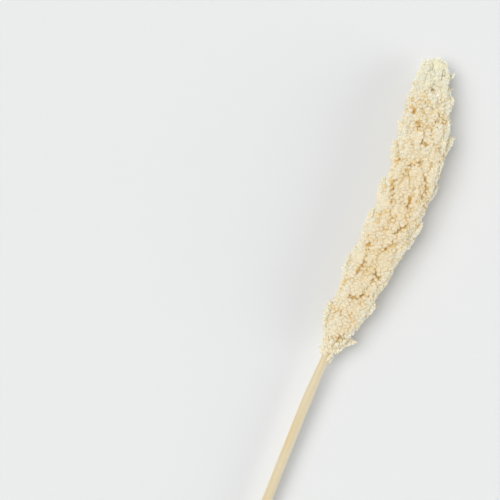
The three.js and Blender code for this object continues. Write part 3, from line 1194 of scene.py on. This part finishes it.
def build_glossy(places, normals, random):
    """Husks that lie on the outermost grains and catch the light."""
    upper = places[:, 2] > along(AXIS, places[:, 1], 2)
    outermost = []
    for glint in GLINTS:
        seen = np.round(seen_at(*glint), PHOTO_DIGITS)
        away = np.linalg.norm(places[:, :2] - seen, axis=1)
        outermost.append(np.argmin(np.where(upper, away, np.inf)))
    count = len(outermost)
    out = normals[outermost]
    pointing = forward_at(places[outermost]) + GLOSSY_STRAY * random.normal(size=(count, 3))
    return scatter(
        "glossy_husks", husk_shape(), places[outermost] + out * GLOSSY_LIFT, turned(pointing, random),
        varied(GLOSSY_HALF, GLOSSY_VARIETY, count, random), {},
    )


def build_tuft(clusters, random):
    """The slender florets of the tip, in two layers."""
    tufts = [layer(clusters, inset, FLORET_SPACINGS, GRAIN_SEED + 3) for inset in FLORET_INSETS]
    places, normals = (np.concatenate([tuft[n] for tuft in tufts]) for n in (0, 1))
    kept = random.random_sample(len(places)) < tip_share(places)
    places, normals = places[kept], normals[kept]
    count = len(places)
    forward = forward_at(places)
    facing = np.maximum((normals * forward).sum(axis=1, keepdims=True), 0)
    places = lay_down(places - normals * facing * FLORET_TUCK, FLORET_REST)
    stray = FLORET_STRAY * (1 + FLORET_END_STRAY * facing) * random.normal(size=(count, 3))
    pointing = normals * FLORET_LIFT + forward + stray
    return scatter(
        "tip_tuft", floret_shape(), places, turned(pointing, random),
        varied(FLORET_HALF, FLORET_VARIETY, count, random),
        {"tone": random.random_sample(count), "closed": np.zeros(count)},
    )


def build_spray_ends(clusters, random):
    """Slender glumes that stick out past the end of each spray."""
    shown = CLUSTERS + len(STANDOUTS)
    tops = clusters.centres + GLUME_START * clusters.axes[:, 0] * clusters.sizes[:, :1]
    ends = np.repeat(tops[:shown], GLUMES, axis=0)
    long = np.repeat(clusters.axes[:shown, 0], GLUMES, axis=0)
    reach = np.repeat(clusters.sizes[:shown, 1:2], GLUMES, axis=0)
    count = len(ends)
    spread = random.normal(size=(count, 3)).clip(-GLUME_LIMIT, GLUME_LIMIT)
    spread -= (spread * long).sum(axis=1, keepdims=True) * long
    at = lay_down(ends + GLUME_OFFSET * spread * reach, GLUME_HALF[0])
    return scatter(
        "spray_ends", floret_shape(), at, turned(long + GLUME_SPLAY * spread, random),
        varied(GLUME_HALF, GLUME_VARIETY, count, random),
        {"tone": random.random_sample(count), "closed": np.zeros(count)},
    )


def build_core():
    """The dense middle of the head: a sphere drawn out along the stem."""
    core = ball("branch_mass", 24, 60)
    co = corners_of(core.data)
    y = CORE_START + (HEAD_END - CORE_START) * np.arccos(np.clip(-co[:, 2], -1, 1)) / math.pi
    angle = np.arctan2(co[:, 1], co[:, 0])
    ring = np.minimum(1, np.hypot(co[:, 0], co[:, 1]) * CORE_CLOSING)
    radius = core_reach(y, angle) * ring
    set_corners(core.data, centre_at(y) + outward(y, angle) * radius[:, None])
    return core


def fuse(body, core):
    """Joins the core to the body and makes one closed skin of all that overlaps in them."""
    select_only(body)
    core.select_set(True)
    bpy.ops.object.join()
    skin = body.modifiers.new("fuse", "REMESH")
    skin.mode = "VOXEL"
    skin.voxel_size = BODY_MESH
    skin.use_smooth_shade = True
    bpy.ops.object.modifier_apply(modifier=skin.name)


def build_body(clusters, tones):
    """The close-set body of the sprays under their outer grains, fused into one skin with its furrows."""
    feet = clusters.centres - clusters.axes[:, 0] * clusters.sizes[:, :1]
    inset = BODY_INSET + NECK_INSET * neck_share(feet)[:, None]
    sizes = np.maximum(clusters.sizes - inset, SMALLEST_HALF)
    heads = clusters.centres + clusters.axes[:, 0] * clusters.sizes[:, :1]
    sizes[:, 0] -= TIP_INSET * tip_share(heads)
    body = scatter("spray_body", spray_shape(), clusters.centres, clusters.axes[:, ::-1], sizes[:, ::-1], {})
    fuse(body, build_core())
    points = corners_of(body.data)
    nearest = tree_of(clusters.centres)
    own = tones[[nearest.find(point)[1] for point in points]]
    store(body.data, {"tone": own, "closed": crease_amber_and_shade(points, clusters), "paleness": tip_share(points)})
    set_corners(body.data, lay_down(sunk(points, clusters)))
    return body


def build_head(clusters):
    """All pieces of the head: each with its slot, the node it stands for and its material."""
    random = np.random.RandomState(GRAIN_SEED)
    tipped = tip_clusters(clusters)
    places, normals, owner = layer(clusters, GRAIN_INSET, GRAIN_SPACINGS, GRAIN_SEED + 1)
    clear = cleft(places, CLEFT_GAP, CLEFT_GAP_EDGE) < 0.5
    places, normals, owner = places[clear], normals[clear], owner[clear]
    closed = crease_amber_and_shade(places, clusters)
    places = lay_down(sunk(places, clusters), GRAIN_HALF[0])
    room = np.clip(room_around(places) / FULL_GRAIN_ROOM, *ROOM_LIMITS)
    tones = random.random_sample(len(tipped.centres))

    grain = random.random_sample(len(places)) >= tip_share(places)
    places, normals, owner = places[grain], normals[grain], owner[grain]
    closed, room = closed[grain], room[grain]
    attributes = {
        "tone": grain_tones(places, tones[owner], random),
        "paleness": paleness(places),
        "closed": closed,
    }
    grains = build_grains(places, normals, room, attributes, random)
    grains.append(build_inner_grains(clusters, random))
    husks = [build_husks(places, normals, closed, random), build_spray_ends(clusters, random)]
    return [
        *[(piece, "grain", "seed_head", grain_material) for piece in grains],
        *[(piece, "grain", "seed_head", husk_material) for piece in husks],
        (build_glossy(places, normals, random), "grain", "seed_head", glossy_material),
        (build_body(tipped, tones), "grain", "seed_head", body_material),
        (build_tuft(tipped, random), "floret", "tip_florets", floret_material),
    ]


def sink_pith(cane):
    """Insets and sinks the cut end of the cane. Returns which faces are then its pith."""
    foot = min(cane.data.polygons, key=lambda face: face.center.z + (len(face.vertices) < CANE_SIDES))
    for face in cane.data.polygons:
        face.select = face.index == foot.index
    for part in (cane.data.vertices, cane.data.edges):
        for element in part:
            element.select = False
    for index in foot.vertices:
        cane.data.vertices[index].select = True
    bpy.ops.object.mode_set(mode="EDIT")
    bpy.ops.mesh.select_mode(type="FACE")
    bpy.ops.mesh.inset(thickness=PITH_RIM)
    bpy.ops.mesh.extrude_region_move(TRANSFORM_OT_translate={"value": (0, 0, PITH_SINK)})
    bpy.ops.mesh.poke()
    bpy.ops.object.mode_set(mode="OBJECT")
    return [face.select for face in cane.data.polygons]


def build_cane():
    """Cane and rachis: a drawn-out tube with fine ribs, its cut end inset to the pith."""
    bpy.ops.object.select_all(action="DESELECT")
    bpy.ops.mesh.primitive_circle_add(vertices=CANE_SIDES, radius=1, fill_type="NGON")
    cane = begin("cane")
    start, end = CANE[0, 0], CANE[-1, 0]
    bpy.ops.object.mode_set(mode="EDIT")
    bpy.ops.mesh.select_all(action="SELECT")
    for _ in range(CANE_STEPS):
        bpy.ops.mesh.extrude_region_move(TRANSFORM_OT_translate={"value": (0, 0, 1 / CANE_STEPS)})
    bpy.ops.mesh.select_all(action="SELECT")
    bpy.ops.mesh.normals_make_consistent(inside=False)
    bpy.ops.object.mode_set(mode="OBJECT")
    pith_faces = sink_pith(cane)
    co = corners_of(cane.data)
    y = start + (end - start) * co[:, 2]
    angle = np.arctan2(co[:, 1], co[:, 0])
    coarse = RIB_DEPTH * np.sin(RIBS * angle + RIB_SWAY * np.sin(RIB_SWAY_RATE * y))
    fine = FINE_RIB_DEPTH * np.sin(FINE_RIBS * angle)
    radius = along(CANE, y) * np.hypot(co[:, 0], co[:, 1]) * (1 + coarse + fine)
    set_corners(cane.data, lay_down(centre_at(y) + outward(y, angle) * radius[:, None]))
    cane.data.materials.append(cane_material())
    cane.data.materials.append(pith_material())
    for face, is_pith in zip(cane.data.polygons, pith_faces):
        face.material_index = int(is_pith)
        face.use_smooth = len(face.vertices) == 4 and not is_pith
    cane.data.update()
    return cane


# The stage

# Light from the left, and a weaker one from the right: tilt from straight above, spread and energy, and
# how far each stands towards the top or the bottom of the picture.
LIGHT_COLOUR = (1, 0.985, 0.965)
KEY_TILT = 28 * DEGREE
KEY_SPREAD = 48 * DEGREE
KEY_ENERGY = 2.42
KEY_UP = 0.3
FILL_TILT = 77 * DEGREE
FILL_SPREAD = 50 * DEGREE
FILL_ENERGY = 1.7
FILL_DOWN = 0.2

# The room: its light is stronger from the walls than from the ceiling.
ROOM_COLOUR = (0.95, 0.98, 1, 1)
WALL_STRENGTH = 0.75
CEILING_STRENGTH = 0.2
FLOOR_SIZE = 8


def soft_light(name, side, tilt, energy, spread):
    """A large soft light that stands to one side, tilted from straight above."""
    light = bpy.data.lights.new(name, "SUN")
    light.energy = energy
    light.color = LIGHT_COLOUR
    light.angle = spread
    lamp = bpy.data.objects.new(name, light)
    bpy.context.scene.collection.objects.link(lamp)
    towards = side.normalized() * math.sin(tilt)
    towards.z = math.cos(tilt)
    lamp.rotation_euler = (-towards).to_track_quat("-Z", "Y").to_euler()


def build_stage():
    """Camera, floor and lights, as in the photo."""
    up = Vector((-math.sin(PHOTO_TURN), math.cos(PHOTO_TURN), 0))
    right = Vector((math.cos(PHOTO_TURN), math.sin(PHOTO_TURN), 0))
    scene = bpy.context.scene

    camera = bpy.data.cameras.new("camera")
    camera.lens = CAMERA_LENS
    camera.sensor_width = CAMERA_FILM
    viewer = bpy.data.objects.new("camera", camera)
    scene.collection.objects.link(viewer)
    turn = Matrix((right, up, (0, 0, 1))).transposed().to_4x4()
    viewer.matrix_world = Matrix.Translation(CAMERA_CENTRE + Vector((0, 0, CAMERA_HEIGHT))) @ turn
    scene.camera = viewer

    bpy.ops.object.select_all(action="DESELECT")
    bpy.ops.mesh.primitive_plane_add(size=FLOOR_SIZE)
    floor = begin("floor")
    floor.data.materials.append(floor_material())

    soft_light("key", KEY_UP * up - right, KEY_TILT, KEY_ENERGY, KEY_SPREAD)
    soft_light("fill", right - FILL_DOWN * up, FILL_TILT, FILL_ENERGY, FILL_SPREAD)

    world = bpy.data.worlds.new("room")
    world.use_nodes = True
    nodes, links = world.node_tree.nodes, world.node_tree.links
    background = nodes["Background"]
    background.inputs["Color"].default_value = ROOM_COLOUR
    height = nodes.new("ShaderNodeSeparateXYZ")
    links.new(nodes.new("ShaderNodeTexCoord").outputs["Generated"], height.inputs["Vector"])
    strength = nodes.new("ShaderNodeMapRange")
    strength.inputs["To Min"].default_value = WALL_STRENGTH
    strength.inputs["To Max"].default_value = CEILING_STRENGTH
    links.new(height.outputs["Z"], strength.inputs["Value"])
    links.new(strength.outputs["Result"], background.inputs["Strength"])
    scene.world = world
    scene.view_settings.view_transform = "Standard"


clusters = grain_clusters()
for piece, slot, node, material in build_head(clusters):
    piece.data.materials.append(material())
    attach(piece, "root")
    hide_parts(node)

cane = build_cane()
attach(cane, "root")
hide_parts("stalk")

build_stage()
